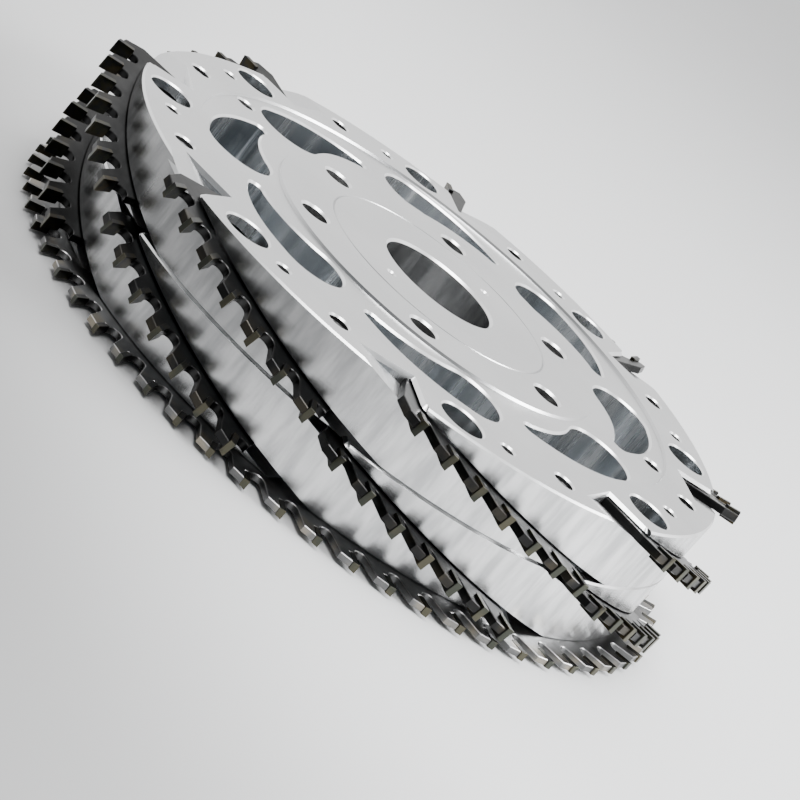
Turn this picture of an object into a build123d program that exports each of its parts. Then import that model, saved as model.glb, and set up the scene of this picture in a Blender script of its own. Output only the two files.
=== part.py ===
from build123d import *
import math
import os

# Hogging saw head: two stacked aluminium discs carry tilted toothed segments round their
# rim, and a flat saw ring closes the back. Sizes are in millimetres and degrees. The axis
# is Z, the back face of the hub is at z = 0 and the face with the windows looks up.

# Rows and pitches
SEGMENTS_PER_TIER = 8
TEETH_PER_SEGMENT = 7
RING_TEETH = 63
FIRST_SEGMENT_ANGLE = 22.5
LOWER_TIER_TURN = -5.0
RING_START = -1.0

# Body discs
BODY_RADIUS = 165.0
HUB_PROUD = 1.5
HUB_RADIUS = 100.0
FACE_CHAMFER = 1.8
JOINT_CHAMFER = 1.2
BORE_RADIUS = 30.0
RECESS_INNER_RADIUS = 91.0
RECESS_OUTER_RADIUS = 134.0
RECESS_DEPTH = 1.2

# Seats of the segments
SEAT_DROP = 12.2
SEGMENT_COVER = 0.3
SEAT_RADIAL_DEPTH = 30.7
SLOT_GAP = 0.8
NOSE_OFFSET = 49.5
NOSE_ROUND = 3.0

# Segment plates
PLATE_THICKNESS = 3.9
PLATE_CLEARANCE = 0.1
TRAILING_ANGLE = 21.3
LEADING_ANGLE = 18.4
TOOTH_LEAD = 0.2

# Teeth
TOOTH_REACH = 17.0
HOOK_ANGLE = 15.0
RELIEF_ANGLE = 11.0
TIP_LENGTH = 9.0
TIP_THICKNESS = 2.6
TIP_PROUD = 0.8
TIP_CLEARANCE = 0.1
SEGMENT_KERF = 7.4
TOOTH_TOP_LENGTH = 6.0
GULLET_RADIUS = 3.4
GULLET_FLATS = 2

# Saw ring
RING_THICKNESS = 3.2
RING_KERF = 4.2
RING_FIT = 0.05

# Flange bolt holes
BOLT_COUNT = 6
BOLT_CIRCLE_RADIUS = 75.5
BOLT_START = 46.5
BOLT_HOLE_RADIUS = 4.5
BOLT_HEAD_RADIUS = 7.0
BOLT_HEAD_DEPTH = 9.0

# Holes round the rim, each placed from the middle of its segment
RIM_HOLE_INSET = 15.0
SIGHT_BORE_RADIUS = 10.5
SIGHT_BORE_ANGLE = -10.1
PUSH_HOLE_RADIUS = 3.3
PUSH_HOLE_ANGLE = -1.2
SET_SCREW_HOLE_RADIUS = 4.8
SET_SCREW_ANGLE = 10.9
SET_SCREW_LENGTH = 8.0

# Balancing holes in the face
BALANCE_HOLE_CIRCLE = 128.0
BALANCE_HOLE_ANGLES = (-63.0, 130.0)
BALANCE_HOLE_RADIUS = 4.5
BALANCE_HOLE_DEPTH = 10.0

# Windows, drawn with y radial and x clockwise from the window's own angle
WINDOW_ANGLE = 15.0
WINDOW_ROUND_PLACE = (-3.0, 111.7)
WINDOW_ROUND_RADIUS = 16.6
WINDOW_ROUND_ENDS = (79.8, -69.3)
WINDOW_TAIL_PLACE = (47.0, 100.2)
WINDOW_TAIL_RADIUS = 3.75
WINDOW_TAIL_ENDS = (45.0, -135.0)
WINDOW_OUTER_MIDDLE = (30.0, 120.0)
WINDOW_INNER_MIDDLE = (24.0, 100.9)

# Screws that hold the ring to the lower disc
BODY_SCREW_COUNT = 4
BODY_SCREW_INSET = 12.0
BODY_SCREW_ANGLE = 29.0
BODY_SCREW_RADIUS = 4.0
BODY_SCREW_HEAD_RADIUS = 7.2
BODY_SCREW_CONE_ANGLE = 45.0
BODY_SCREW_LENGTH = 20.0
BODY_SCREW_END_GAP = 1.0
KEY_RADIUS = 2.9
KEY_DEPTH = 3.0
SCREW_FIT = 0.05

# Bores and screws that repeat have flat sides, except those that mate with other things
SMALL_ROUND_SIDES = 12
BIG_ROUND_SIDES = 20

# Pitches, places and heights that follow
SEGMENT_PITCH = 360 / SEGMENTS_PER_TIER
TOOTH_PITCH = 360 / RING_TEETH
FIRST_TOOTH_ANGLE = TOOTH_LEAD - TOOTH_PITCH * (TEETH_PER_SEGMENT - 1) / 2
LAST_TOOTH_ANGLE = FIRST_TOOTH_ANGLE + TOOTH_PITCH * (TEETH_PER_SEGMENT - 1)
HOOK = math.radians(HOOK_ANGLE)
RELIEF = math.radians(RELIEF_ANGLE)
CUTTING_RADIUS = BODY_RADIUS + TOOTH_REACH
SEAT_FLAT = BODY_RADIUS - SEAT_RADIAL_DEPTH
RIM_HOLE_CIRCLE = BODY_RADIUS - RIM_HOLE_INSET
BODY_SCREW_CIRCLE = HUB_RADIUS + BODY_SCREW_INSET
FAR = 2 * CUTTING_RADIUS
TILT = math.asin(SEAT_DROP / CUTTING_RADIUS / math.sin(math.radians(LAST_TOOTH_ANGLE)))
SEGMENT_RISE = BODY_RADIUS * math.sin(math.radians(TRAILING_ANGLE)) * math.sin(TILT)
SEAT_DEPTH = SEGMENT_RISE + PLATE_THICKNESS * math.cos(TILT) + SEGMENT_COVER
SEGMENT_TIP_OVERHANG = (SEGMENT_KERF - PLATE_THICKNESS) / 2
RING_TIP_OVERHANG = (RING_KERF - RING_THICKNESS) / 2
UPPER_THICKNESS = SEAT_DEPTH + SEGMENT_TIP_OVERHANG * math.cos(TILT) + SEAT_DROP + TIP_CLEARANCE
LOWER_THICKNESS = UPPER_THICKNESS + RING_TIP_OVERHANG + TIP_CLEARANCE
RING_BOTTOM = HUB_PROUD + RING_TIP_OVERHANG
RING_TOP = RING_BOTTOM + RING_THICKNESS
LOWER_TOP = RING_TOP + LOWER_THICKNESS
UPPER_TOP = LOWER_TOP + UPPER_THICKNESS


def polar(radius, angle, height=0.0):
    turn = math.radians(angle)
    return Vector(radius * math.cos(turn), radius * math.sin(turn), height)


def closed_face(points):
    return make_face(Polyline(*points, close=True))


def round_bar(radius, angle, low, high, size):
    """An upright round bar between two heights, at a place round the axis."""
    return Location(polar(radius, angle, low)) * extrude(Circle(size), high - low)


def sided_bar(radius, angle, low, high, size, sides):
    """An upright bar with flat sides, turned with its place round the axis."""
    place = Location(polar(radius, angle, low), (0, 0, angle))
    return place * extrude(RegularPolygon(size, sides), high - low)


# One tooth, in a frame at its cutting point: x along the cut and y outwards

DOWN_RAKE = Vector(-math.sin(HOOK), -math.cos(HOOK))
BEHIND_RAKE = Vector(-math.cos(HOOK), math.sin(HOOK))
TOOTH_BACKWARD = Vector(-math.cos(RELIEF), -math.sin(RELIEF))
TIP_FOOT = DOWN_RAKE * TIP_LENGTH
TIP_HEEL = TIP_FOOT + BEHIND_RAKE * TIP_THICKNESS
TIP_BACK = TOOTH_BACKWARD * (TIP_THICKNESS / math.cos(HOOK + RELIEF))
TOOTH_FRONT = TIP_BACK + DOWN_RAKE * TIP_PROUD
TOOTH_SHOULDER = TOOTH_FRONT + TOOTH_BACKWARD * TOOTH_TOP_LENGTH
GULLET_CENTRE = TIP_FOOT - BEHIND_RAKE * GULLET_RADIUS


def on_wheel(mark, angle):
    """A point of the tooth's frame, carried to the tooth at an angle round the wheel."""
    turn = math.radians(angle)
    outward = CUTTING_RADIUS + mark.Y
    return Vector(
        outward * math.cos(turn) - mark.X * math.sin(turn),
        outward * math.sin(turn) + mark.X * math.cos(turn),
    )


def gullet_points(angle):
    """The round gullet in front of a tooth, in flats that end on the next tooth's back."""
    centre = on_wheel(GULLET_CENTRE, angle)
    start = on_wheel(TIP_FOOT, angle) - centre
    shoulder = on_wheel(TOOTH_SHOULDER, angle + TOOTH_PITCH) - centre
    first = math.atan2(start.Y, start.X)
    last = math.atan2(shoulder.Y, shoulder.X) + math.acos(GULLET_RADIUS / shoulder.length)
    sweep = (first - last) % (2 * math.pi)
    turns = [first - sweep * step / GULLET_FLATS for step in range(GULLET_FLATS + 1)]
    return [centre + Vector(math.cos(t), math.sin(t)) * GULLET_RADIUS for t in turns]


def tooth_row(first_angle, count):
    """The outline of a row of teeth, in the direction of rising angle."""
    points = []
    for k in range(count):
        angle = first_angle + TOOTH_PITCH * k
        points += [on_wheel(mark, angle) for mark in (TOOTH_SHOULDER, TOOTH_FRONT, TIP_HEEL)]
        points += gullet_points(angle)
    return points


def tip_row(first_angle, count, kerf, plate):
    """The carbide tips of a row, centred on a plate that lies on z = 0."""
    tips = []
    for k in range(count):
        angle = first_angle + TOOTH_PITCH * k
        marks = (Vector(0, 0), TIP_BACK, TIP_HEEL, TIP_FOOT)
        face = closed_face([on_wheel(mark, angle) for mark in marks])
        tips.append(Location((0, 0, (plate - kerf) / 2)) * extrude(face, kerf))
    return tips


# Segments and their seats

def segment_angles(turn):
    return [FIRST_SEGMENT_ANGLE + turn + SEGMENT_PITCH * k for k in range(SEGMENTS_PER_TIER)]


def seat_frame(top, angle):
    """The seat floor of a segment: x runs outwards at its middle and y downhill."""
    normal = polar(math.sin(TILT), angle + 90, math.cos(TILT))
    return Plane(origin=(0, 0, top - SEAT_DEPTH), x_dir=polar(1, angle), z_dir=normal)


def segment_plate():
    inner = SEAT_FLAT + PLATE_CLEARANCE
    trailing = math.tan(math.radians(-TRAILING_ANGLE))
    leading = math.tan(math.radians(LEADING_ANGLE))
    sector = closed_face(
        [
            (inner, inner * trailing),
            (FAR, FAR * trailing),
            (FAR, FAR * leading),
            (inner, inner * leading),
        ]
    )
    teeth = tooth_row(FIRST_TOOTH_ANGLE - TOOTH_PITCH, TEETH_PER_SEGMENT + 2)
    return extrude(closed_face([Vector(0, 0)] + teeth) & sector, PLATE_THICKNESS)


def open_notch():
    """The part of a seat that is open to the face, in front of the rounded nose."""
    round_start = BODY_RADIUS * math.cos(math.asin(NOSE_OFFSET / BODY_RADIUS)) - NOSE_ROUND
    side = Polyline(
        (FAR, NOSE_ROUND - NOSE_OFFSET),
        (FAR, -FAR),
        (SEAT_FLAT, -FAR),
        (SEAT_FLAT, -NOSE_OFFSET),
        (round_start, -NOSE_OFFSET),
    )
    nose = RadiusArc(
        (round_start, -NOSE_OFFSET),
        (round_start + NOSE_ROUND, NOSE_ROUND - NOSE_OFFSET),
        NOSE_ROUND,
    )
    last = Line((round_start + NOSE_ROUND, NOSE_ROUND - NOSE_OFFSET), (FAR, NOSE_ROUND - NOSE_OFFSET))
    return extrude(make_face([side, nose, last]), FAR / 2, both=True)


def seat_cut(bottom, top, angle, rim_bores):
    """All that one segment's seat takes out of its disc."""
    floor = seat_frame(top, angle)
    slot_height = PLATE_THICKNESS + SLOT_GAP
    slot = floor * extrude(Pos(SEAT_FLAT + FAR / 2, 0) * Rectangle(FAR, 2 * FAR), slot_height)
    above = floor * extrude(Rectangle(2 * FAR, 2 * FAR), FAR)
    upright = Location((0, 0, top), (0, 0, angle)) * open_notch()
    for place, size, sides in rim_bores:
        upright += sided_bar(RIM_HOLE_CIRCLE, angle + place, bottom, FAR, size, sides)
    return [slot, upright & above]


def seat_height(top, radius, angle):
    """Height of the seat floor at an angle from the segment's middle."""
    return top - SEAT_DEPTH - radius * math.sin(math.radians(angle)) * math.tan(TILT)


# Body

def turned_disc(section):
    """A disc turned from its section, given as radius and height."""
    return revolve(Plane.XZ * closed_face(section), Axis.Z)


def window_face():
    head = [Vector(WINDOW_ROUND_PLACE) + polar(WINDOW_ROUND_RADIUS, a) for a in WINDOW_ROUND_ENDS]
    tail = [Vector(WINDOW_TAIL_PLACE) + polar(WINDOW_TAIL_RADIUS, a) for a in WINDOW_TAIL_ENDS]
    head_middle = Vector(WINDOW_ROUND_PLACE) - Vector(WINDOW_ROUND_RADIUS, 0)
    tail_middle = Vector(WINDOW_TAIL_PLACE) + polar(WINDOW_TAIL_RADIUS, sum(WINDOW_TAIL_ENDS) / 2)
    outline = [
        ThreePointArc(head[0], WINDOW_OUTER_MIDDLE, tail[0]),
        ThreePointArc(tail[0], tail_middle, tail[1]),
        ThreePointArc(tail[1], WINDOW_INNER_MIDDLE, head[1]),
        ThreePointArc(head[1], head_middle, head[0]),
    ]
    return make_face(outline)


def upper_disc():
    rim_bores = [
        (SIGHT_BORE_ANGLE, SIGHT_BORE_RADIUS, BIG_ROUND_SIDES),
        (PUSH_HOLE_ANGLE, PUSH_HOLE_RADIUS, SMALL_ROUND_SIDES),
        (SET_SCREW_ANGLE, SET_SCREW_HOLE_RADIUS, SMALL_ROUND_SIDES),
    ]
    disc = turned_disc(
        [
            (BORE_RADIUS, LOWER_TOP),
            (BODY_RADIUS - JOINT_CHAMFER, LOWER_TOP),
            (BODY_RADIUS, LOWER_TOP + JOINT_CHAMFER),
            (BODY_RADIUS, UPPER_TOP - FACE_CHAMFER),
            (BODY_RADIUS - FACE_CHAMFER, UPPER_TOP),
            (RECESS_OUTER_RADIUS, UPPER_TOP),
            (RECESS_OUTER_RADIUS, UPPER_TOP - RECESS_DEPTH),
            (RECESS_INNER_RADIUS, UPPER_TOP - RECESS_DEPTH),
            (RECESS_INNER_RADIUS, UPPER_TOP),
            (BORE_RADIUS, UPPER_TOP),
        ]
    )
    cuts = []
    for angle in segment_angles(0.0):
        cuts += seat_cut(LOWER_TOP, UPPER_TOP, angle, rim_bores)
    window = extrude(window_face(), FAR, both=True)
    for k in range(SEGMENTS_PER_TIER):
        cuts.append(Rot(0, 0, WINDOW_ANGLE + SEGMENT_PITCH * k - 90) * window)
    for angle in bolt_angles():
        cuts.append(round_bar(BOLT_CIRCLE_RADIUS, angle, 0, FAR, BOLT_HOLE_RADIUS))
        place = (BOLT_CIRCLE_RADIUS, angle, UPPER_TOP - BOLT_HEAD_DEPTH, FAR)
        cuts.append(sided_bar(*place, BOLT_HEAD_RADIUS, BIG_ROUND_SIDES))
    for angle in BALANCE_HOLE_ANGLES:
        place = (BALANCE_HOLE_CIRCLE, angle, UPPER_TOP - BALANCE_HOLE_DEPTH, FAR)
        cuts.append(sided_bar(*place, BALANCE_HOLE_RADIUS, SMALL_ROUND_SIDES))
    return disc - cuts


def lower_disc():
    rim_bores = [(SET_SCREW_ANGLE, SET_SCREW_HOLE_RADIUS, SMALL_ROUND_SIDES)]
    disc = turned_disc(
        [
            (BORE_RADIUS, 0),
            (HUB_RADIUS, 0),
            (HUB_RADIUS, RING_TOP),
            (BODY_RADIUS, RING_TOP),
            (BODY_RADIUS, LOWER_TOP - JOINT_CHAMFER),
            (BODY_RADIUS - JOINT_CHAMFER, LOWER_TOP),
            (BORE_RADIUS, LOWER_TOP),
        ]
    )
    cuts = [body_screw(angle, SCREW_FIT, BODY_SCREW_END_GAP) for angle in body_screw_angles()]
    for angle in segment_angles(LOWER_TIER_TURN):
        cuts += seat_cut(RING_TOP, LOWER_TOP, angle, rim_bores)
    for angle in bolt_angles():
        cuts.append(round_bar(BOLT_CIRCLE_RADIUS, angle, 0, FAR, BOLT_HOLE_RADIUS))
    return disc - cuts


def bolt_angles():
    return [BOLT_START + 360 / BOLT_COUNT * k for k in range(BOLT_COUNT)]


def body_screw_angles():
    return [BODY_SCREW_ANGLE + 360 / BODY_SCREW_COUNT * k for k in range(BODY_SCREW_COUNT)]


# Saw ring

def saw_ring():
    face = closed_face(tooth_row(RING_START, RING_TEETH)) - Circle(HUB_RADIUS + RING_FIT)
    ring = Location((0, 0, RING_BOTTOM)) * extrude(face, RING_THICKNESS)
    return ring - [body_screw(angle, SCREW_FIT, 0.0) for angle in body_screw_angles()]


def body_screw(angle, fit, end_gap):
    """A countersunk screw, flush with the back of the ring, or the hole that takes it."""
    head = RegularPolygon(BODY_SCREW_HEAD_RADIUS + fit, SMALL_ROUND_SIDES)
    shank = RegularPolygon(BODY_SCREW_RADIUS + fit, SMALL_ROUND_SIDES)
    cone = extrude(head, BODY_SCREW_HEAD_RADIUS - BODY_SCREW_RADIUS, taper=BODY_SCREW_CONE_ANGLE)
    place = Location(polar(BODY_SCREW_CIRCLE, angle, RING_BOTTOM))
    return place * (cone + extrude(shank, BODY_SCREW_LENGTH + end_gap))


def key_socket(angle):
    hexagon = RegularPolygon(KEY_RADIUS, 6)
    return Location(polar(BODY_SCREW_CIRCLE, angle, RING_BOTTOM)) * extrude(hexagon, KEY_DEPTH)


def body_screws():
    return [body_screw(angle, 0.0, 0.0) - key_socket(angle) for angle in body_screw_angles()]


def set_screws(top, turn):
    """Short screws in the threaded rim holes, each resting on its segment."""
    screws = []
    size = SET_SCREW_HOLE_RADIUS - SCREW_FIT
    for angle in segment_angles(turn):
        low = seat_height(top, RIM_HOLE_CIRCLE, SET_SCREW_ANGLE)
        low += PLATE_THICKNESS / math.cos(TILT) + size * math.tan(TILT)
        place = (RIM_HOLE_CIRCLE, angle + SET_SCREW_ANGLE, low, low + SET_SCREW_LENGTH)
        screws.append(sided_bar(*place, size, SMALL_ROUND_SIDES))
    return screws


# Written parts

def write(name, shape):
    solids = shape if isinstance(shape, list) else [shape]
    export_step(Compound(children=solids) if len(solids) > 1 else solids[0], f"parts/{name}.step")


os.makedirs("parts", exist_ok=True)
write("upper_disc", upper_disc())
write("lower_disc", lower_disc())
write("saw_ring", saw_ring())
ring_tips = tip_row(RING_START, RING_TEETH, RING_KERF, RING_THICKNESS)
write("ring_tips", [Location((0, 0, RING_BOTTOM)) * tip for tip in ring_tips])
write("body_screws", body_screws())
plate = segment_plate()
segment_tips = tip_row(FIRST_TOOTH_ANGLE, TEETH_PER_SEGMENT, SEGMENT_KERF, PLATE_THICKNESS)
for tier, top, turn in (("upper", UPPER_TOP, 0.0), ("lower", LOWER_TOP, LOWER_TIER_TURN)):
    tier_tips = []
    for number, angle in enumerate(segment_angles(turn), start=1):
        floor = seat_frame(top, angle)
        write(f"{tier}_segment_{number}", floor * plate)
        tier_tips += [floor * tip for tip in segment_tips]
    write(f"{tier}_segment_tips", tier_tips)
    write(f"{tier}_set_screws", set_screws(top, turn))
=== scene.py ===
import math

import bmesh
import bpy
from mathutils import Matrix, Vector


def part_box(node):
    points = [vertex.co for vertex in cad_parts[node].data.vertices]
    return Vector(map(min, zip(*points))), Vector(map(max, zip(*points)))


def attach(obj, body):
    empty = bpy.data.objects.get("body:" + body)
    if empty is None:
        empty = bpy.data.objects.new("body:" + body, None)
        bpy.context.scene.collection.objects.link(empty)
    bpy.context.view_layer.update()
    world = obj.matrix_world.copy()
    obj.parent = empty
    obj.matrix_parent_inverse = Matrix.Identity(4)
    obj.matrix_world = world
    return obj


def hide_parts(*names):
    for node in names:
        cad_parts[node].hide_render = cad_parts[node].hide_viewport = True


# Hogging saw head: two polished aluminium discs with tilted toothed segments in their rims,
# and a flat saw ring at the back. Lengths are metres, in the frame of the solids.

MM = 0.001

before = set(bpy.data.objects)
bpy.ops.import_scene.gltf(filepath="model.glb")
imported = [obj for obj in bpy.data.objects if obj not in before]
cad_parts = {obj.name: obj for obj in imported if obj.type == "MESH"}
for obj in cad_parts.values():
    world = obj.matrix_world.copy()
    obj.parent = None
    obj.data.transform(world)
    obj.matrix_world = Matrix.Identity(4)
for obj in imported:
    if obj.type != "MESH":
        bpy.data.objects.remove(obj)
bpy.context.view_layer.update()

# Body, with its heights read from the solids
FACE_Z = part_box("upper_disc")[1][2]
JOINT_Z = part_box("upper_disc")[0][2]
RING_TOP_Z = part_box("saw_ring")[1][2]
RING_BOTTOM_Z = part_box("saw_ring")[0][2]
RING_THICKNESS = RING_TOP_Z - RING_BOTTOM_Z
BODY_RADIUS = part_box("upper_disc")[1][0]
BORE_RADIUS = 30 * MM
HUB_RADIUS = 100 * MM
HUB_CLEARANCE = 0.05 * MM
RECESS_INNER = 91 * MM
RECESS_OUTER = 134 * MM
RECESS_DEPTH = 1.2 * MM
GROOVE_RADIUS = 60.2 * MM
GROOVE_WIDTH = 1.2 * MM
GROOVE_DEPTH = 0.9 * MM

# Chamfers and bevels
FACE_CHAMFER = 0.9 * MM
JOINT_CHAMFER = 0.8 * MM
BORE_CHAMFER = 1.2 * MM
HOLE_CHAMFER = 0.8 * MM
WINDOW_CHAMFER = 1.0 * MM
BOLT_CHAMFER = 1.1 * MM
SPOT_CHAMFER = 0.9 * MM
NOTCH_CHAMFER = 2.1 * MM
NOTCH_WALL_CHAMFER = 1.2 * MM
PLATE_BEVEL = 0.3 * MM
TIP_BEVEL = 0.12 * MM

# Rows of teeth; turns along the row are radians
SEGMENTS = 8
TEETH = 7
RING_TEETH = 63
TOOTH_PITCH = math.radians(360 / RING_TEETH)
RING_START = math.radians(-1.0)
CUTTING_RADIUS = BODY_RADIUS + 17 * MM
FIRST_TOOTH = math.radians(0.2) - TEETH // 2 * TOOTH_PITCH
LAST_TOOTH = FIRST_TOOTH + (TEETH - 1) * TOOTH_PITCH
HOOK = math.radians(15)
RELIEF = math.radians(11)
TIP_LENGTH = 9 * MM
TIP_THICKNESS = 2.6 * MM
TIP_PROUD = 0.8 * MM
TIP_SIDE_RELIEF = 0.25 * MM
TOOTH_TOP = 6 * MM
GULLET_RADIUS = 3.4 * MM
SEGMENT_KERF = 7.4 * MM
RING_KERF = 4.2 * MM

# Seats of the segments
SEGMENT_ANGLES = [22.5 + 360 / SEGMENTS * k for k in range(SEGMENTS)]
LOWER_TURN = -5.0
PLATE = 3.9 * MM
SLOT_GAP = 0.8 * MM
SEAT_FLAT = BODY_RADIUS - 30.7 * MM
SEAT_CLEARANCE = 0.1 * MM
SEAT_SPARE = 0.3 * MM
NOSE_OFFSET = 49.5 * MM
NOSE_ROUND = 3 * MM
TRAILING = math.radians(21.3)
LEADING = math.radians(18.4)
SEAT_DROP = 12.2 * MM
TILT = math.asin(SEAT_DROP / (CUTTING_RADIUS * math.sin(LAST_TOOTH)))
SEAT_DEPTH = BODY_RADIUS * math.sin(TRAILING) * math.sin(TILT) + PLATE * math.cos(TILT) + SEAT_SPARE

# Holes along the rim: degrees from the segment's middle, and radius
RIM_CIRCLE = BODY_RADIUS - 15 * MM
SIGHT_BORE = (-10.1, 10.5 * MM)
PUSH_HOLE = (-1.2, 3.3 * MM)
SET_SCREW_PLACE = 10.9
SET_SCREW_RADIUS = 4.8 * MM

# Holes in the face; the rows are circle, angles, radius, depth and height of their mouth
BOLT_CIRCLE = 75.5 * MM
BOLT_ANGLES = [46.5 + 60 * k for k in range(6)]
BOLT_HOLE = 4.5 * MM
BOLT_HEAD = 7 * MM
BOLT_HEAD_DEPTH = 9 * MM
SPOT_HOLES = (45 * MM, (16, 196), 1.8 * MM, 8 * MM, FACE_Z)
BALANCE_HOLES = (128 * MM, (-63, 130), 4.5 * MM, 10 * MM, FACE_Z - RECESS_DEPTH)

# Screws
SET_SCREW_LENGTH = 8 * MM
SET_SCREW_CLEARANCE = 0.1 * MM
SET_SCREW_SOCKET = 2.4 * MM
SET_SCREW_SOCKET_DEPTH = 4 * MM
SOCKET_TURNS = 7
THREAD_PITCH = 1.25 * MM
THREAD_DEPTH = 0.45 * MM
BODY_SCREW_CIRCLE = HUB_RADIUS + 12 * MM
BODY_SCREW_ANGLES = [29 + 90 * k for k in range(4)]
BODY_SCREW_HEAD = 7.2 * MM
BODY_SCREW_SHANK = 4 * MM
BODY_SCREW_LENGTH = 20 * MM
BODY_SCREW_SOCKET = 2.9 * MM
BODY_SCREW_SOCKET_DEPTH = 3 * MM
COUNTERSINK_GAP = 0.1 * MM

# Windows, drawn with y radial and x clockwise
WINDOW_ANGLES = [15 + 45 * k for k in range(8)]
HEAD_CENTRE = Vector((-3, 111.7)) * MM
HEAD_RADIUS = 16.6 * MM
HEAD_ENDS = (-69.3, 79.8 - 360)
TAIL_CENTRE = Vector((47, 100.2)) * MM
TAIL_RADIUS = 3.75 * MM
TAIL_ENDS = (45, -135)
OUTER_MIDDLE = Vector((30, 120)) * MM
INNER_MIDDLE = Vector((24, 100.9)) * MM

# How far cutters run past a face, the narrow core of a turned piece and the sharpest mitre
PAST = 1 * MM
OVERLAP = 0.3 * MM
CORE = 0.1 * MM
FAR = 3 * CUTTING_RADIUS
MITRE_LIMIT = 0.4

# Steps round circles and along arcs
DISC_STEPS = 360
HUB_STEPS = 180
HOLE_STEPS = 48
SPOT_STEPS = 32
SET_SCREW_STEPS = 32
BODY_SCREW_STEPS = 40
GULLET_STEPS = 10
NOSE_STEPS = 8
WINDOW_HEAD_STEPS = 40
WINDOW_TAIL_STEPS = 12
WINDOW_SIDE_STEPS = 16

# Shading: the angle between smooth faces, the upward part of a face's normal, and where finishes end
SMOOTH_ANGLE = math.radians(28)
LEVEL = 0.95
SLOPING = 0.3
UPRIGHT = 0.2
RIM_BAND = 3 * MM
BORE_BAND = 2 * MM
RIM_CHAMFER_BAND = 1.25 * MM
FACE_CHAMFER_BAND = 3 * MM
BRAZED_BAND = (11 * MM, 5 * MM)
LAND_BAND = (1.2 * MM, 0.6 * MM)


# Shader maths

class Socket:
    """A value in a material, which can be reckoned with like a number."""

    def __init__(self, nodes, link):
        self.nodes = nodes
        self.link = link

    def maths(self, operation, *values):
        values = values or (self,)
        return self.nodes.add("ShaderNodeMath", {"operation": operation}, dict(enumerate(values)))

    def __add__(self, other):
        return self.maths("ADD", self, other)

    def __radd__(self, other):
        return self.maths("ADD", other, self)

    def __sub__(self, other):
        return self.maths("SUBTRACT", self, other)

    def __rsub__(self, other):
        return self.maths("SUBTRACT", other, self)

    def __mul__(self, other):
        return self.maths("MULTIPLY", self, other)

    def __rmul__(self, other):
        return self.maths("MULTIPLY", other, self)

    def between(self, low, high):
        """0 below low, 1 above high and a soft step between them."""
        return self.nodes.add(
            "ShaderNodeMapRange", {"interpolation_type": "SMOOTHSTEP"}, {0: self, 1: low, 2: high}
        )


class Nodes:
    """A node tree whose nodes are added by their kind, settings and values."""

    def __init__(self, tree):
        self.tree = tree

    def add(self, kind, settings, values, output=0):
        node = self.tree.nodes.new(kind)
        for key, value in settings.items():
            setattr(node, key, value)
        for key, value in values.items():
            self.feed(node.inputs[key], value)
        return Socket(self, node.outputs[output])

    def feed(self, target, value):
        if isinstance(value, Socket):
            self.tree.links.new(value.link, target)
        else:
            target.default_value = value

    def parts(self, place):
        """The x, y and z of a vector."""
        first = self.add("ShaderNodeSeparateXYZ", {}, {0: place})
        return [Socket(self, out) for out in first.link.node.outputs]

    def mix(self, factor, first, second):
        return self.add("ShaderNodeMix", {"data_type": "RGBA"}, {0: factor, 6: first, 7: second}, 2)


class Finish(Nodes):
    """A material built from a Principled shader and patterns on Object coordinates."""

    def __init__(self, name, colour, **constants):
        self.data = bpy.data.materials.new(name)
        self.data.use_nodes = True
        self.data.diffuse_color = (*colour, 1)
        super().__init__(self.data.node_tree)
        self.shader = self.tree.nodes["Principled BSDF"]
        self.set("Base Color", (*colour, 1))
        for key, value in constants.items():
            self.set(key.title(), value)
        self.place = self.add("ShaderNodeTexCoord", {}, {}, "Object")
        self.x, self.y, self.z = self.parts(self.place)
        self.radius = (self.x * self.x + self.y * self.y).maths("SQRT")

    def set(self, name, value):
        self.feed(self.shader.inputs[name], value)

    def noise(self, scale, detail=2.0, rough=0.5, place=None):
        values = {"Vector": place or self.place, "Scale": scale, "Detail": detail, "Roughness": rough}
        return self.add("ShaderNodeTexNoise", {}, values)

    def vector(self, x, y, z):
        return self.add("ShaderNodeCombineXYZ", {}, {0: x, 1: y, 2: z})

    def outside(self, band):
        """0 on the body and 1 at the cutting points, with a step over a band inside their circle."""
        return self.radius.between(CUTTING_RADIUS - band[0], CUTTING_RADIUS - band[1])

    def marks(self, way, per_metre, detail=3.0):
        """Fine marks that follow one another along a way, such as those of a turning tool."""
        return self.noise(1.0, detail, 0.6, self.vector(way * per_metre, 0.0, 0.0))

    def streaks(self, across, along, detail, rough):
        """Marks drawn out along the axis, with so many per metre across it and along it."""
        drawn_out = self.vector(self.x * across, self.y * across, self.z * along)
        return self.noise(1.0, detail, rough, drawn_out)

    def bump(self, height, strength, distance):
        values = {"Strength": strength, "Distance": distance, "Height": height}
        self.set("Normal", self.add("ShaderNodeBump", {}, values))


def grey(value, tint=0.0):
    """A grey, a little bluer with more tint."""
    return (value * (1 - tint), value, value * (1 + tint), 1)


def turned_aluminium():
    """Fine turning rings round the axis and a soft unevenness of the shine."""
    finish = Finish("turned_aluminium", (0.74, 0.745, 0.75), metallic=1.0)
    rings = finish.marks(finish.radius, 9000)
    passes = finish.marks(finish.radius, 900, 2.0)
    cloud = finish.noise(18.0, 3.0)
    wear = finish.noise(5.0, 2.0)
    finish.set("Roughness", 0.2 + rings * 0.05 + cloud * 0.12)
    tone = cloud.between(0.3, 0.75) * 0.4 + wear * 0.3 + passes * 0.2
    finish.set("Base Color", finish.mix(tone, grey(0.58, 0.008), grey(0.76, 0.004)))
    finish.bump(rings + passes * 2.0, 0.3, 0.00002)
    return finish.data


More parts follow.
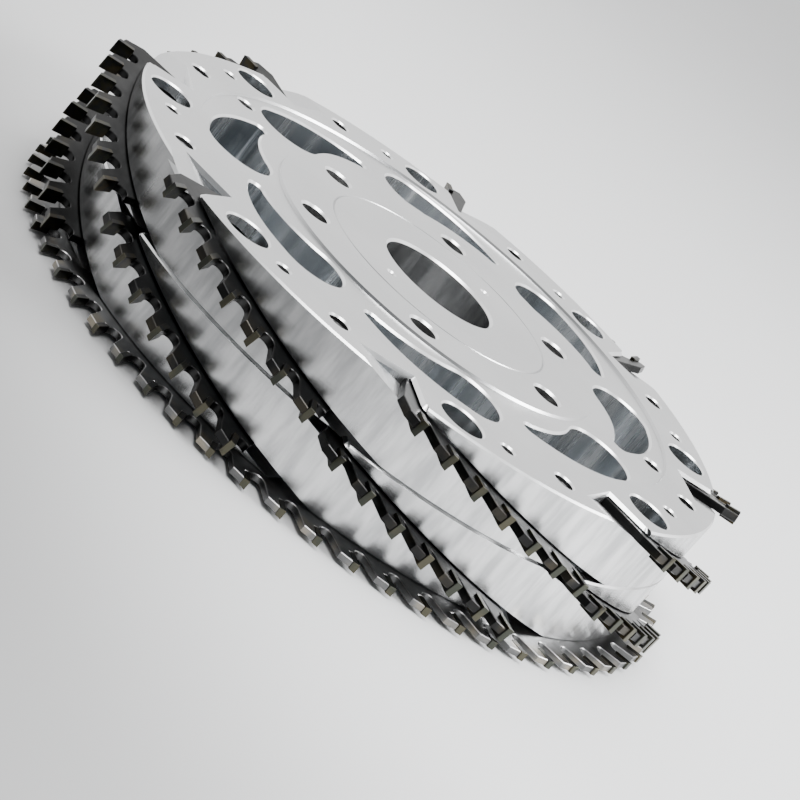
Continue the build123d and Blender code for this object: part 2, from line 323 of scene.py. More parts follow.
def polished_rim():
    """Side walls polished nearly to a mirror, with turning lines that draw reflections out."""
    finish = Finish("polished_rim", (0.8, 0.81, 0.82), metallic=1.0)
    lines = finish.marks(finish.z, 7000)
    smears = finish.streaks(150, 25, 3.0, 0.55)
    finish.set("Roughness", 0.14 + lines * 0.05 + smears * 0.14)
    finish.set("Base Color", finish.mix(smears.between(0.3, 0.7), grey(0.42, 0.012), grey(0.7, 0.004)))
    finish.bump(lines, 0.5, 0.00005)
    return finish.data


def bright_chamfer():
    """Chamfers painted lighter than the faces that they join, as a painted highlight."""
    finish = Finish("bright_chamfer", (0.9, 0.905, 0.91), metallic=1.0)
    cloud = finish.noise(90.0, 3.0)
    finish.set("Roughness", 0.24 + cloud * 0.14)
    # The light base colour is a painted highlight along the chamfers
    finish.set("Base Color", finish.mix(cloud, grey(0.86, 0.004), grey(0.97, 0.004)))
    finish.bump(cloud, 0.1, 0.00003)
    return finish.data


def milled_aluminium():
    """Walls of windows and bores: soft bright bands painted in as reflections, and faint upright
    streaks of a milling cutter.
    """
    finish = Finish("milled_aluminium", (0.6, 0.63, 0.66), metallic=1.0)
    painted_reflection_bands = finish.streaks(75, 3, 2.0, 0.5)
    streaks = finish.streaks(700, 12, 3.0, 0.6)
    finish.set("Roughness", 0.16 + painted_reflection_bands * 0.12 + streaks * 0.08)
    # The bright bands in the colour are painted reflections; the streaks are milling marks
    tone = painted_reflection_bands.between(0.46, 0.64) * 0.86 + streaks * 0.14
    finish.set("Base Color", finish.mix(tone, (0.5, 0.53, 0.555, 1), (0.96, 0.965, 0.97, 1)))
    finish.bump(streaks, 0.06, 0.00002)
    return finish.data


def ground_steel(name, dark, light, heat):
    """Steel with faint grinding marks and stains, and heat tints near the brazed tips."""
    finish = Finish(name, (dark, dark, dark), metallic=1.0)
    across = finish.vector(finish.x * 500 + finish.y * 260, finish.y * 60, finish.z * 60)
    marks = finish.noise(1.0, 4.0, 0.6, across)
    stains = finish.noise(60.0, 3.0)
    finish.set("Roughness", 0.22 + marks * 0.12 + stains * 0.1)
    steel = finish.mix(stains.between(0.35, 0.7), grey(dark), grey(light))
    brazed = finish.outside(BRAZED_BAND)
    tinted = brazed * stains.between(0.45, 0.65) * heat
    straw = (light * 1.5, light * 1.15, light * 0.55, 1)
    finish.set("Base Color", finish.mix(tinted, steel, straw))
    finish.bump(marks, 0.15, 0.00003)
    return finish.data


def brazed_carbide():
    """Dark carbide tips with lighter ground lands at the cutting circle and faint bronze stains."""
    finish = Finish("brazed_carbide", (0.08, 0.08, 0.065), metallic=1.0)
    stains = finish.noise(260.0, 3.0, 0.6)
    tints = finish.noise(70.0, 2.0)
    bronze, olive = (0.048, 0.038, 0.021, 1), (0.032, 0.034, 0.025, 1)
    stained = finish.mix(tints.between(0.35, 0.65), bronze, olive)
    body = finish.mix(stains.between(0.42, 0.6), stained, grey(0.028))
    land = finish.outside(LAND_BAND)
    warm, cool = (0.085, 0.08, 0.058, 1), (0.055, 0.058, 0.048, 1)
    ground = finish.mix(tints.between(0.4, 0.6), warm, cool)
    finish.set("Base Color", finish.mix(land, body, ground))
    finish.set("Roughness", 0.26 + stains * 0.14)
    finish.bump(stains, 0.15, 0.00003)
    return finish.data


def black_screw_steel():
    """Blackened screws with a fine grain."""
    finish = Finish("black_screw_steel", (0.03, 0.03, 0.035), metallic=0.8)
    grain = finish.noise(300.0, 3.0)
    finish.set("Roughness", 0.3 + grain * 0.2)
    finish.set("Base Color", finish.mix(grain, grey(0.02, 0.05), grey(0.06, 0.05)))
    finish.bump(grain, 0.2, 0.00003)
    return finish.data


def pale_stage():
    """The seamless pale floor, darkened by painted shade towards the front and one side."""
    finish = Finish("pale_stage", (0.8, 0.8, 0.81), roughness=0.6)
    cloud = finish.noise(1.2, 2.0)
    painted_shade_side = (finish.x * 0.81 - finish.y * 0.58).between(0.0, 0.3)
    front = finish.x.between(0.06, 0.32)
    pale = finish.mix(cloud, grey(0.86, 0.004), grey(0.92, 0.004))
    # The darker grey towards the front and one side is painted shade
    finish.set("Base Color", finish.mix(painted_shade_side * 0.4 + front * 0.5, pale, grey(0.08, 0.004)))
    return finish.data


TURNED = turned_aluminium()
RIM = polished_rim()
CHAMFER_PAINTED_HIGHLIGHT = bright_chamfer()
MILLED_PAINTED_REFLECTIONS = milled_aluminium()
SEGMENT_STEEL = ground_steel("segment_steel", 0.016, 0.038, 0.35)
DARK_EDGE = ground_steel("dark_edge", 0.04, 0.08, 0.2)
# The saw ring's steel is painted lighter than the segments' steel, as painted light that the ring
# catches from the floor
RING_STEEL_PAINTED_LIT = ground_steel("ring_steel", 0.12, 0.26, 0.35)
# Light bevels of the saw ring: a painted highlight along its edges
EDGE_STEEL_PAINTED_HIGHLIGHT = ground_steel("edge_steel", 0.35, 0.55, 0.1)
# Walls of the holes in the aluminium discs, painted dark as shade inside the holes
HOLE_WALL_PAINTED_SHADE = ground_steel("hole_wall", 0.18, 0.42, 0.0)
CARBIDE = brazed_carbide()
BLACK = black_screw_steel()


# Meshes

def polar(radius, angle, height=0.0):
    """A point on a circle, at an angle in degrees."""
    turn = math.radians(angle)
    return Vector((radius * math.cos(turn), radius * math.sin(turn), height))


def at_height(outline, height):
    """A flat outline carried to a height."""
    return [Vector((*point, height)) for point in outline]


def mesh_object(name, points, faces, material):
    mesh = bpy.data.meshes.new(name)
    mesh.from_pydata([tuple(point) for point in points], [], faces)
    mesh.update()
    made = bpy.data.objects.new(name, mesh)
    bpy.context.collection.objects.link(made)
    mesh.materials.append(material)
    tidy_mesh(made)
    return made


def tidy_mesh(made, merge=1e-7):
    """Merges doubles and turns the faces outwards."""
    work = bmesh.new()
    work.from_mesh(made.data)
    bmesh.ops.remove_doubles(work, verts=work.verts, dist=merge)
    bmesh.ops.recalc_face_normals(work, faces=work.faces)
    work.to_mesh(made.data)
    work.free()


def lathe(name, section, steps, material):
    """A closed section of radius and height, turned round the axis."""
    count = len(section)
    points = []
    for k in range(steps):
        points += [polar(r, 360 * k / steps, z) for r, z in section]
    faces = []
    for k in range(steps):
        a, b = k * count, (k + 1) % steps * count
        faces += [(a + i, b + i, b + (i + 1) % count, a + (i + 1) % count) for i in range(count)]
    return mesh_object(name, points, faces, material)


def loft(name, rings, material):
    """A closed body through rings of points, each with as many points as the next."""
    count = len(rings[0])
    points = [point for ring in rings for point in ring]
    faces = [tuple(range(count))[::-1]]
    for k in range(len(rings) - 1):
        a, b = k * count, (k + 1) * count
        faces += [(a + i, a + (i + 1) % count, b + (i + 1) % count, b + i) for i in range(count)]
    faces.append(tuple(range((len(rings) - 1) * count, len(rings) * count)))
    return mesh_object(name, points, faces, material)


def prism(name, outline, low, high, material):
    """A flat outline raised from one height to another."""
    return loft(name, [at_height(outline, low), at_height(outline, high)], material)


def offset_outline(outline, distance):
    """A closed outline moved outwards by a distance, with mitred corners."""
    moved = []
    area = sum(a.x * b.y - b.x * a.y for a, b in zip(outline, outline[1:] + outline[:1]))
    side = 1 if area > 0 else -1
    for before, here, after in zip(outline[-1:] + outline[:-1], outline, outline[1:] + outline[:1]):
        first = (here - before).normalized()
        second = (after - here).normalized()
        normal = Vector((first.y + second.y, -first.x - second.x)).normalized() * side
        reach = max(MITRE_LIMIT, normal.dot(Vector((first.y, -first.x)) * side))
        moved.append(here + normal * distance / reach)
    return moved


def arc(centre, radius, first, last, steps):
    """Points on an arc between two angles in degrees, both ends included."""
    turns = [math.radians(first + (last - first) * k / steps) for k in range(steps + 1)]
    return [centre + Vector((math.cos(t), math.sin(t))) * radius for t in turns]


def arc_through(first, middle, last, steps):
    """Points on the arc through three points, without its ends."""
    a, b, c = (Vector((*p, 0)) for p in (first, middle, last))
    ab, ac = b - a, c - a
    normal = ab.cross(ac)
    centre = a + (ac.length_squared * normal.cross(ab) + ab.length_squared * ac.cross(normal)) / (
        2 * normal.length_squared
    )
    start = math.atan2(a.y - centre.y, a.x - centre.x)
    end = math.atan2(c.y - centre.y, c.x - centre.x)
    way = 1 if normal.z > 0 else -1
    sweep = (way * (end - start)) % (2 * math.pi)
    turns = [start + way * sweep * k / steps for k in range(1, steps)]
    radius = (a - centre).length
    return [centre.xy + Vector((math.cos(t), math.sin(t))) * radius for t in turns]


def copies(piece, places):
    """Copies of a piece carried to several places; the first one is used up."""
    made = []
    for place in places:
        copy = bpy.data.objects.new(piece.name, piece.data.copy())
        copy.data.transform(place)
        bpy.context.collection.objects.link(copy)
        made.append(copy)
    bpy.data.objects.remove(piece)
    return made


def cut(body, cutter):
    """Takes the cutter out of the body; faces keep the cutter's material."""
    change = body.modifiers.new("cut", "BOOLEAN")
    change.operation = "DIFFERENCE"
    change.solver = "MANIFOLD"
    change.material_mode = "TRANSFER"
    change.object = cutter
    apply_modifiers(body)
    bpy.data.objects.remove(cutter)


def apply_modifiers(made):
    """Gives the object the mesh that its modifiers make."""
    made.data.update()
    bpy.context.view_layer.update()
    shown = made.evaluated_get(bpy.context.evaluated_depsgraph_get())
    mesh = bpy.data.meshes.new_from_object(shown)
    made.modifiers.clear()
    made.data = mesh


def rows_of(name, piece, places):
    """Geometry Nodes set the piece on every place of a row and make one mesh of it."""
    spots = bpy.data.meshes.new("places")
    spots.from_pydata([place.to_translation() for place in places], [], [])
    turn = spots.attributes.new("turn", "FLOAT_VECTOR", "POINT")
    for k, place in enumerate(places):
        turn.data[k].vector = place.to_euler()
    carrier = bpy.data.objects.new(name, spots)
    bpy.context.collection.objects.link(carrier)
    tree = bpy.data.node_groups.new("rows_of_pieces", "GeometryNodeTree")
    tree.interface.new_socket("Places", in_out="INPUT", socket_type="NodeSocketGeometry")
    tree.interface.new_socket("Piece", in_out="INPUT", socket_type="NodeSocketObject")
    tree.interface.new_socket("Finish", in_out="INPUT", socket_type="NodeSocketMaterial")
    tree.interface.new_socket("Row", in_out="OUTPUT", socket_type="NodeSocketGeometry")
    kinds = {
        "start": "NodeGroupInput",
        "piece": "GeometryNodeObjectInfo",
        "turn": "GeometryNodeInputNamedAttribute",
        "set": "GeometryNodeInstanceOnPoints",
        "real": "GeometryNodeRealizeInstances",
        "finish": "GeometryNodeSetMaterial",
        "end": "NodeGroupOutput",
    }
    node = {key: tree.nodes.new(kind) for key, kind in kinds.items()}
    node["turn"].data_type = "FLOAT_VECTOR"
    node["turn"].inputs["Name"].default_value = "turn"
    links = (
        (node["start"].outputs["Places"], node["set"].inputs["Points"]),
        (node["start"].outputs["Piece"], node["piece"].inputs["Object"]),
        (node["piece"].outputs["Geometry"], node["set"].inputs["Instance"]),
        (node["turn"].outputs["Attribute"], node["set"].inputs["Rotation"]),
        (node["set"].outputs["Instances"], node["real"].inputs[0]),
        (node["real"].outputs[0], node["finish"].inputs["Geometry"]),
        (node["start"].outputs["Finish"], node["finish"].inputs["Material"]),
        (node["finish"].outputs["Geometry"], node["end"].inputs["Row"]),
    )
    for source, target in links:
        tree.links.new(source, target)
    modifier = carrier.modifiers.new("rows", "NODES")
    modifier.node_group = tree
    items = tree.interface.items_tree
    inputs = {item.name: item.identifier for item in items if item.in_out == "INPUT"}
    modifier[inputs["Piece"]] = piece
    modifier[inputs["Finish"]] = piece.data.materials[0]
    apply_modifiers(carrier)
    bpy.data.objects.remove(piece)
    return carrier


# Teeth, drawn at their cutting point with x along the cut and y outwards

DOWN_RAKE = Vector((-math.sin(HOOK), -math.cos(HOOK)))
BEHIND_RAKE = Vector((-math.cos(HOOK), math.sin(HOOK)))
BACKWARD = Vector((-math.cos(RELIEF), -math.sin(RELIEF)))
TIP_FOOT = DOWN_RAKE * TIP_LENGTH
TIP_HEEL = TIP_FOOT + BEHIND_RAKE * TIP_THICKNESS
TIP_BACK = BACKWARD * (TIP_THICKNESS / math.cos(HOOK + RELIEF))
TOOTH_FRONT = TIP_BACK + DOWN_RAKE * TIP_PROUD
SHOULDER = TOOTH_FRONT + BACKWARD * TOOTH_TOP
GULLET_CENTRE = TIP_FOOT - BEHIND_RAKE * GULLET_RADIUS


def on_wheel(mark, turn):
    """A mark of the tooth drawing, on the wheel at a turn."""
    outward = CUTTING_RADIUS + mark.y
    return Vector(
        (
            outward * math.cos(turn) - mark.x * math.sin(turn),
            outward * math.sin(turn) + mark.x * math.cos(turn),
        )
    )


def gullet(turn):
    """The round gullet in front of a tooth, up to the back of the next one."""
    centre = on_wheel(GULLET_CENTRE, turn)
    start = on_wheel(TIP_FOOT, turn) - centre
    shoulder = on_wheel(SHOULDER, turn + TOOTH_PITCH) - centre
    first = math.degrees(math.atan2(start.y, start.x))
    last = math.degrees(math.atan2(shoulder.y, shoulder.x) + math.acos(GULLET_RADIUS / shoulder.length))
    return arc(centre, GULLET_RADIUS, first, first - (first - last) % 360, GULLET_STEPS)


def tooth_row(first, count):
    """The outline of a row of teeth, from the first one's turn on."""
    points = []
    for k in range(count):
        turn = first + TOOTH_PITCH * k
        points += [on_wheel(mark, turn) for mark in (SHOULDER, TOOTH_FRONT, TIP_HEEL)]
        points += gullet(turn)
    return points


def bevelled_plate(name, outline, thickness, material, edges):
    """A flat plate on z = 0 with narrow bevels along both faces."""
    inner = offset_outline(outline, -PLATE_BEVEL)
    rings = [
        at_height(inner, 0),
        at_height(outline, PLATE_BEVEL),
        at_height(outline, thickness - PLATE_BEVEL),
        at_height(inner, thickness),
    ]
    made = loft(name, rings, material)
    made.data.materials.append(edges)
    for face in made.data.polygons:
        # Bevel faces take the edges finish, which on the saw ring is a painted highlight
        face.material_index = int(UPRIGHT < abs(face.normal.z) < LEVEL)
    return made


def clipped(points, low, high):
    """The part of a row's outline between two angles, with its ends on those lines."""
    kept = []
    for here, after in zip(points, points[1:]):
        a, b = (math.atan2(p.y, p.x) for p in (here, after))
        if low < a < high:
            kept.append(here)
        for line in (low, high):
            if (a - line) * (b - line) < 0:
                kept.append(here.lerp(after, (line - a) / (b - a)))
    return kept


def segment_outline():
    """Seven teeth between the two ends of the segment, and its straight back."""
    row = clipped(tooth_row(FIRST_TOOTH - TOOTH_PITCH, TEETH + 2), -TRAILING, LEADING)
    back = SEAT_FLAT + SEAT_CLEARANCE
    return row + [Vector((back, back * math.tan(end))) for end in (LEADING, -TRAILING)]


def tip(kerf, plate):
    """One carbide tip on the first place of the wheel, narrower at its back and its foot."""
    middle, front = plate / 2, kerf / 2
    back = front - TIP_SIDE_RELIEF
    marks = (
        (Vector((0, 0)), front),
        (TIP_BACK, back),
        (TIP_HEEL, back - TIP_SIDE_RELIEF),
        (TIP_FOOT, back),
    )
    low = [Vector((*on_wheel(mark, 0.0), middle - width)) for mark, width in marks]
    high = [Vector((*on_wheel(mark, 0.0), middle + width)) for mark, width in marks]
    made = loft("tip", [low, high], CARBIDE)
    edge = made.modifiers.new("edge", "BEVEL")
    edge.width = TIP_BEVEL
    edge.segments = 1
    edge.limit_method = "ANGLE"
    apply_modifiers(made)
    return made


def seat_place(top, angle):
    """The seat floor of a segment: x outwards at its middle, tilted down along the cut."""
    return (
        Matrix.Translation((0, 0, top - SEAT_DEPTH))
        @ Matrix.Rotation(math.radians(angle), 4, "Z")
        @ Matrix.Rotation(-TILT, 4, "X")
    )


def turned(angle):
    """A turn round the axis, in radians."""
    return Matrix.Rotation(angle, 4, "Z")


# Cutters of the discs

SET_SCREW_HOLE = (SET_SCREW_PLACE, SET_SCREW_RADIUS, True, HOLE_WALL_PAINTED_SHADE)


def chamfered_hole(
    circle,
    angle,
    radius,
    low,
    high,
    chamfer=HOLE_CHAMFER,
    threaded=False,
    steps=HOLE_STEPS,
    finish=HOLE_WALL_PAINTED_SHADE,
):
    """The body of a round hole that opens upwards with a chamfer, which runs on past its mouth."""
    section = [(radius, low)]
    if threaded:
        for k in range(int((high - chamfer - low) / THREAD_PITCH) - 1):
            height = low + THREAD_PITCH * (k + 0.25)
            section += [(radius, height), (radius + THREAD_DEPTH, height + THREAD_PITCH / 2)]
    over = chamfer / 2
    mouth = high + over
    section += [(radius, high - chamfer), (radius + chamfer + over, mouth)]
    count = len(section)
    points = [Vector((0, 0, low)), Vector((0, 0, mouth))]
    for k in range(steps):
        points += [polar(r, 360 * k / steps, z) for r, z in section]
    faces = []
    for k in range(steps):
        a, b = 2 + k * count, 2 + (k + 1) % steps * count
        faces += [(a + i, b + i, b + i + 1, a + i + 1) for i in range(count - 1)]
        faces += [(0, b, a), (1, a + count - 1, b + count - 1)]
    made = mesh_object("hole", points, faces, finish)
    made.data.transform(Matrix.Translation(polar(circle, angle)))
    return made


def window_outline():
    """A round head and a small round tail, joined by two bowed sides."""
    head = arc(HEAD_CENTRE, HEAD_RADIUS, *HEAD_ENDS, WINDOW_HEAD_STEPS)
    tail = arc(TAIL_CENTRE, TAIL_RADIUS, *TAIL_ENDS, WINDOW_TAIL_STEPS)
    outer = arc_through(head[-1], OUTER_MIDDLE, tail[0], WINDOW_SIDE_STEPS)
    inner = arc_through(tail[-1], INNER_MIDDLE, head[0], WINDOW_SIDE_STEPS)
    return head + outer + tail + inner


def window_cutter():
    """The body of a window from below the disc to above the face, chamfered at the recess."""
    outline = window_outline()
    mouth = offset_outline(outline, WINDOW_CHAMFER)
    floor = FACE_Z - RECESS_DEPTH
    rings = [
        at_height(outline, JOINT_Z - PAST),
        at_height(outline, floor - WINDOW_CHAMFER),
        at_height(mouth, floor),
        at_height(mouth, FACE_Z + PAST),
    ]
    return loft("window", rings, MILLED_PAINTED_REFLECTIONS)


def notch_rings(low, top):
    """The open part of a seat above its floor, with a wide chamfer along its rounded nose."""
    rim = math.sqrt(BODY_RADIUS**2 - NOSE_OFFSET**2)
    nose_place = Vector((rim - NOSE_ROUND, NOSE_ROUND - NOSE_OFFSET))

    def outline(wall, nose):
        inner = SEAT_FLAT - wall
        outside = ((FAR, NOSE_ROUND - NOSE_OFFSET), (FAR, -FAR))
        inside = ((inner, -FAR), (inner, nose - NOSE_OFFSET))
        corners = [Vector(corner) for corner in outside + inside]
        return corners + arc(nose_place, NOSE_ROUND - nose, -90, 0, NOSE_STEPS)

    over = 0.4 * MM
    return [
        at_height(outline(0.0, 0.0), low),
        at_height(outline(0.0, 0.0), top - NOTCH_CHAMFER),
        at_height(outline(NOTCH_WALL_CHAMFER, NOTCH_CHAMFER + over), top + over),
    ]


def floor_height(top, place):
    """How high the floor of a seat lies on the rim circle, at degrees from the segment's middle."""
    return top - SEAT_DEPTH - RIM_CIRCLE * math.sin(math.radians(place)) * math.tan(TILT)


def seat_cutters(top, bottom, angle, holes):
    """What one segment's seat takes out of a disc: slot, notch and rim holes above the floor."""
    floor = seat_place(top, angle)
    across = ((SEAT_FLAT, -FAR), (FAR, -FAR), (FAR, FAR), (SEAT_FLAT, FAR))
    slot = prism("slot", across, 0, PLATE + SLOT_GAP, MILLED_PAINTED_REFLECTIONS)
    slot.data.transform(floor)
    notch = loft("notch", notch_rings(bottom - 5 * PAST, top), RIM)
    notch.data.transform(turned(math.radians(angle)))
    around = ((-FAR, -FAR), (FAR, -FAR), (FAR, FAR), (-FAR, FAR))
    below = prism("below", around, -FAR, 0, MILLED_PAINTED_REFLECTIONS)
    below.data.transform(floor)
    cut(notch, below)
    cutters = [slot, notch]
    for place, radius, threaded, finish in holes:
        low = floor_height(top, place) + PLATE / 2
        cutters.append(
            chamfered_hole(
                RIM_CIRCLE, angle + place, radius, low, top, threaded=threaded, finish=finish
            )
        )
    return cutters


def disc_body(name, section, top, bottom, turn, holes, more):
    """A turned disc with the seats of its segments and the other cuts."""
    body = lathe(name, section, DISC_STEPS, TURNED)
    for other in (RIM, MILLED_PAINTED_REFLECTIONS, CHAMFER_PAINTED_HIGHLIGHT, HOLE_WALL_PAINTED_SHADE):
        body.data.materials.append(other)
    for angle in SEGMENT_ANGLES:
        for cutter in seat_cutters(top, bottom, angle + turn, holes):
            cut(body, cutter)
    for cutter in more:
        cut(body, cutter)
    paint_disc(body, top)
    return body


def paint_disc(body, top):
    """Turned faces look up or down, chamfers get a painted highlight, the rim and the bores are
    polished.
    """
    names = [material.name for material in body.data.materials]
    slots = [names.index(finish.name) for finish in (TURNED, RIM, CHAMFER_PAINTED_HIGHLIGHT)]
    turned_slot, rim_slot, highlight_chamfer_slot = slots
    for face in body.data.polygons:
        radius = math.hypot(face.center.x, face.center.y)
        at_rim = radius > BODY_RADIUS - RIM_BAND
        at_bore = radius < BORE_RADIUS + BORE_BAND
        cut_in = face.material_index != turned_slot
        band = RIM_CHAMFER_BAND if radius > RECESS_OUTER else FACE_CHAMFER_BAND
        sloping = face.normal.z > SLOPING and face.center.z > top - band
        if abs(face.normal.z) > LEVEL:
            face.material_index = turned_slot
        # Sloping faces near the top get the chamfer's painted highlight
        elif sloping and (cut_in or at_bore or at_rim):
            face.material_index = highlight_chamfer_slot
        elif at_bore or (at_rim and not sloping):
            face.material_index = rim_slot


def upper_disc():
    """The disc with the face, its recess and groove, the windows and the bolt holes."""
    section = [
        (BORE_RADIUS, JOINT_Z),
        (BODY_RADIUS - JOINT_CHAMFER, JOINT_Z),
        (BODY_RADIUS, JOINT_Z + JOINT_CHAMFER),
        (BODY_RADIUS, FACE_Z - FACE_CHAMFER),
        (BODY_RADIUS - FACE_CHAMFER, FACE_Z),
        (RECESS_OUTER + RECESS_DEPTH / 2, FACE_Z),
        (RECESS_OUTER, FACE_Z - RECESS_DEPTH),
        (RECESS_INNER, FACE_Z - RECESS_DEPTH),
        (RECESS_INNER - RECESS_DEPTH / 2, FACE_Z),
        (GROOVE_RADIUS + GROOVE_WIDTH, FACE_Z),
        (GROOVE_RADIUS + GROOVE_WIDTH / 2, FACE_Z - GROOVE_DEPTH),
        (GROOVE_RADIUS, FACE_Z),
        (BORE_RADIUS + BORE_CHAMFER, FACE_Z),
        (BORE_RADIUS, FACE_Z - BORE_CHAMFER),
    ]
    holes = [(*SIGHT_BORE, False, MILLED_PAINTED_REFLECTIONS), (*PUSH_HOLE, False, HOLE_WALL_PAINTED_SHADE), SET_SCREW_HOLE]
    more = copies(window_cutter(), [turned(math.radians(a - 90)) for a in WINDOW_ANGLES])
    seat = FACE_Z - BOLT_HEAD_DEPTH
    for angle in BOLT_ANGLES:
        more.append(chamfered_hole(BOLT_CIRCLE, angle, BOLT_HOLE, JOINT_Z - PAST, seat + OVERLAP))
        more.append(chamfered_hole(BOLT_CIRCLE, angle, BOLT_HEAD, seat, FACE_Z, BOLT_CHAMFER))
    for circle, angles, radius, depth, mouth in (SPOT_HOLES, BALANCE_HOLES):
        low = FACE_Z - depth
        for angle in angles:
            hole = chamfered_hole(circle, angle, radius, low, mouth, SPOT_CHAMFER, steps=SPOT_STEPS)
            more.append(hole)
    return disc_body("upper_disc_machined", section, FACE_Z, JOINT_Z, 0.0, holes, more)


def lower_disc():
    """The disc under it, with the hub that carries the saw ring."""
    section = [
        (BORE_RADIUS, 0),
        (HUB_RADIUS, 0),
        (HUB_RADIUS, RING_TOP_Z),
        (BODY_RADIUS - JOINT_CHAMFER / 2, RING_TOP_Z),
        (BODY_RADIUS, RING_TOP_Z + JOINT_CHAMFER / 2),
        (BODY_RADIUS, JOINT_Z - JOINT_CHAMFER),
        (BODY_RADIUS - JOINT_CHAMFER, JOINT_Z),
        (BORE_RADIUS, JOINT_Z),
    ]
    holes = [SET_SCREW_HOLE]
    more = [chamfered_hole(BOLT_CIRCLE, a, BOLT_HOLE, -PAST, JOINT_Z) for a in BOLT_ANGLES]
    return disc_body("lower_disc_machined", section, JOINT_Z, RING_TOP_Z, LOWER_TURN, holes, more)


# Screws and the saw ring

def hexagon(radius):
    """The outline of a hexagon socket, as wide as radius at its corners."""
    return [polar(radius, 60 * k).xy for k in range(6)]


def set_screw():
    """A short screw with turned threads and a hexagon socket, standing on z = 0."""
    crest = SET_SCREW_RADIUS - SET_SCREW_CLEARANCE
    root = crest - THREAD_DEPTH
    section = [(CORE, 0), (root, 0)]
    for k in range(int(SET_SCREW_LENGTH / THREAD_PITCH) - 1):
        height = THREAD_PITCH * (k + 0.75)
        section += [(crest, height), (root, height + THREAD_PITCH / 2)]
    section += [(root, SET_SCREW_LENGTH), (CORE, SET_SCREW_LENGTH)]
    body = lathe("set_screw", section, SET_SCREW_STEPS, BLACK)
    low, high = SET_SCREW_LENGTH - SET_SCREW_SOCKET_DEPTH, SET_SCREW_LENGTH + PAST
    cut(body, prism("socket", hexagon(SET_SCREW_SOCKET), low, high, BLACK))
    return body


def set_screw_places(top, turn):
    """Each set screw stands on its segment, at a turn of its own."""
    on_plate = PLATE / math.cos(TILT) + SET_SCREW_RADIUS * math.tan(TILT)
    low = floor_height(top, SET_SCREW_PLACE) + on_plate
    return [
        Matrix.Translation(polar(RIM_CIRCLE, angle + turn + SET_SCREW_PLACE, low))
        @ turned(math.radians(angle * SOCKET_TURNS))
        for angle in SEGMENT_ANGLES
    ]


def countersink(gap):
    """The cone of a countersunk screw or of its seat, from its wide end at z = 0 to its narrow one."""
    drop = BODY_SCREW_HEAD - BODY_SCREW_SHANK
    return [(BODY_SCREW_HEAD + gap, 0), (BODY_SCREW_SHANK + gap, drop)]


def body_screw():
    """A countersunk screw with a hexagon socket, its head down at z = 0."""
    end = [(BODY_SCREW_SHANK, BODY_SCREW_LENGTH), (CORE, BODY_SCREW_LENGTH)]
    body = lathe("body_screw", [(CORE, 0)] + countersink(0) + end, BODY_SCREW_STEPS, BLACK)
    cut(body, prism("socket", hexagon(BODY_SCREW_SOCKET), -PAST, BODY_SCREW_SOCKET_DEPTH, BLACK))
    return body


def saw_ring():
    """The flat ring with its teeth, the hole round the hub and the countersunk seats."""
    outline = tooth_row(RING_START, RING_TEETH)
    body = bevelled_plate("saw_ring_ground", outline, RING_THICKNESS, RING_STEEL_PAINTED_LIT, EDGE_STEEL_PAINTED_HIGHLIGHT)
    body.data.transform(Matrix.Translation((0, 0, RING_BOTTOM_Z)))
    low, high = RING_BOTTOM_Z - PAST, RING_TOP_Z + PAST
    cut(body, chamfered_hole(0, 0, HUB_RADIUS + HUB_CLEARANCE, low, high, 0.0, steps=HUB_STEPS))
    axis, top = 0.01 * MM, 6 * MM
    wide, narrow = countersink(COUNTERSINK_GAP)
    section = [(axis, -PAST), (wide[0], -PAST), wide, narrow, (narrow[0], top), (axis, top)]
    for angle in BODY_SCREW_ANGLES:
        cutter = lathe("seat", section, BODY_SCREW_STEPS, RING_STEEL_PAINTED_LIT)
        cutter.data.transform(Matrix.Translation(polar(BODY_SCREW_CIRCLE, angle, RING_BOTTOM_Z)))
        tidy_mesh(cutter, 2 * axis)
        cut(body, cutter)
    return body


def finished(piece, node):
    """Shades a piece, hides the solid that it stands for and lets it ride on the body."""
    piece.data.shade_smooth()
    piece.data.set_sharp_from_angle(angle=SMOOTH_ANGLE)
    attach(piece, "root")
    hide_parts(node)


def tier_of_segments(tier, top, turn):
    """The eight segments of a disc with their tips and set screws."""
    seats = [seat_place(top, angle + turn) for angle in SEGMENT_ANGLES]
    for number, seat in enumerate(seats, start=1):
        name = f"{tier}_segment_ground_{number}"
        plate = bevelled_plate(name, segment_outline(), PLATE, SEGMENT_STEEL, DARK_EDGE)
        plate.data.transform(seat)
        finished(plate, f"{tier}_segment_{number}")
    teeth = [seat @ turned(FIRST_TOOTH + TOOTH_PITCH * k) for seat in seats for k in range(TEETH)]
    tips = rows_of(f"{tier}_segment_tips_ground", tip(SEGMENT_KERF, PLATE), teeth)
    finished(tips, f"{tier}_segment_tips")
    screws = rows_of(f"{tier}_set_screws_threaded", set_screw(), set_screw_places(top, turn))
    finished(screws, f"{tier}_set_screws")


def ring_fittings():
    """The tips of the saw ring and the screws that hold it."""
    foot = Matrix.Translation((0, 0, RING_BOTTOM_Z))
    teeth = [foot @ turned(RING_START + TOOTH_PITCH * k) for k in range(RING_TEETH)]
    tips = rows_of("ring_tips_ground", tip(RING_KERF, RING_THICKNESS), teeth)
    finished(tips, "ring_tips")
    seats = [Matrix.Translation(polar(BODY_SCREW_CIRCLE, a, RING_BOTTOM_Z)) for a in BODY_SCREW_ANGLES]
    screws = rows_of("body_screws_socketed", body_screw(), seats)
    finished(screws, "body_screws")


finished(upper_disc(), "upper_disc")
finished(lower_disc(), "lower_disc")
finished(saw_ring(), "saw_ring")
tier_of_segments("upper", FACE_Z, 0.0)
tier_of_segments("lower", JOINT_Z, LOWER_TURN)
ring_fittings()


# Camera, low beside the head and turned, so that the face and the rim both show

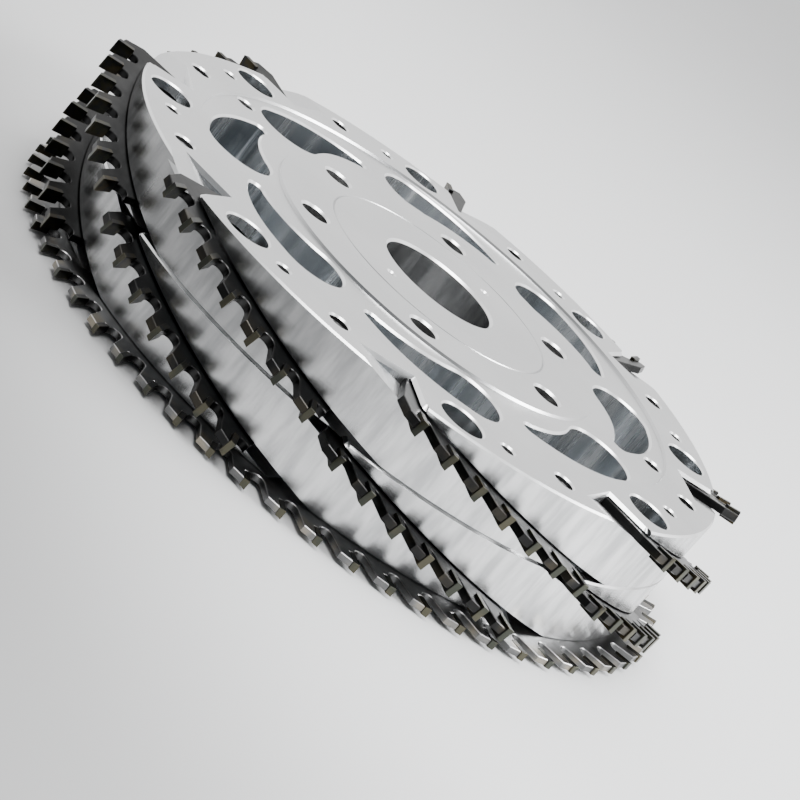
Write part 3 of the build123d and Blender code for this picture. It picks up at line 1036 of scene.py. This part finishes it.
CAMERA_PLACE = Vector((0.73383, 0.64484, 0.31798))
CAMERA_TURN = (67.892, -37.775, 144.394)
CAMERA_LENS = 98.96
CAMERA_SENSOR = 36
CAMERA_SHIFT = (0.0110, -0.0092)

lens = bpy.data.cameras.new("camera")
lens.sensor_width = CAMERA_SENSOR
lens.sensor_height = CAMERA_SENSOR
lens.lens = CAMERA_LENS
lens.shift_x, lens.shift_y = CAMERA_SHIFT
camera = bpy.data.objects.new("camera", lens)
camera.location = CAMERA_PLACE
camera.rotation_euler = [math.radians(angle) for angle in CAMERA_TURN]
bpy.context.collection.objects.link(camera)
bpy.context.scene.camera = camera


# Floor and light

FLOOR_REACH = 6.0
ROOM_BRIGHT = (1.0, 1.0, 1.0, 1)
ROOM_DIM = (0.13, 0.135, 0.14, 1)
ROOM_STRENGTH = 1.6


def floor():
    reach = FLOOR_REACH
    corners = ((-reach, -reach), (reach, -reach), (reach, reach), (-reach, reach))
    made = mesh_object("floor", at_height(corners, 0), [(0, 1, 2, 3)], pale_stage())


def area_light(name, place, width, height, power, colour):
    """A soft light that is aimed at the foot of the bore."""
    light = bpy.data.lights.new(name, "AREA")
    light.shape = "RECTANGLE"
    light.size, light.size_y = width, height
    light.energy = power
    light.color = colour
    made = bpy.data.objects.new(name, light)
    made.location = place
    made.rotation_euler = (-Vector(place)).to_track_quat("-Z", "Y").to_euler()
    bpy.context.collection.objects.link(made)


def room_light():
    """A bright room behind the head and a dim one on the camera's side."""
    world = bpy.data.worlds.new("room")
    world.use_nodes = True
    nodes = Nodes(world.node_tree)
    x, y, z = nodes.parts(nodes.add("ShaderNodeTexCoord", {}, {}, "Generated"))
    dim = (x * 0.76 + y * 0.65).between(-0.5, 0.6)
    background = world.node_tree.nodes["Background"]
    nodes.feed(background.inputs["Color"], nodes.mix(dim, ROOM_BRIGHT, ROOM_DIM))
    nodes.feed(background.inputs["Strength"], ROOM_STRENGTH)
    bpy.context.scene.world = world


floor()
room_light()
area_light("window_light", (-1.3, 1.5, 1.1), 1.2, 1.0, 80, (0.98, 0.99, 1.0))
area_light("ceiling_light", (0.25, 0.2, 1.8), 1.0, 1.0, 40, (1, 1, 1))
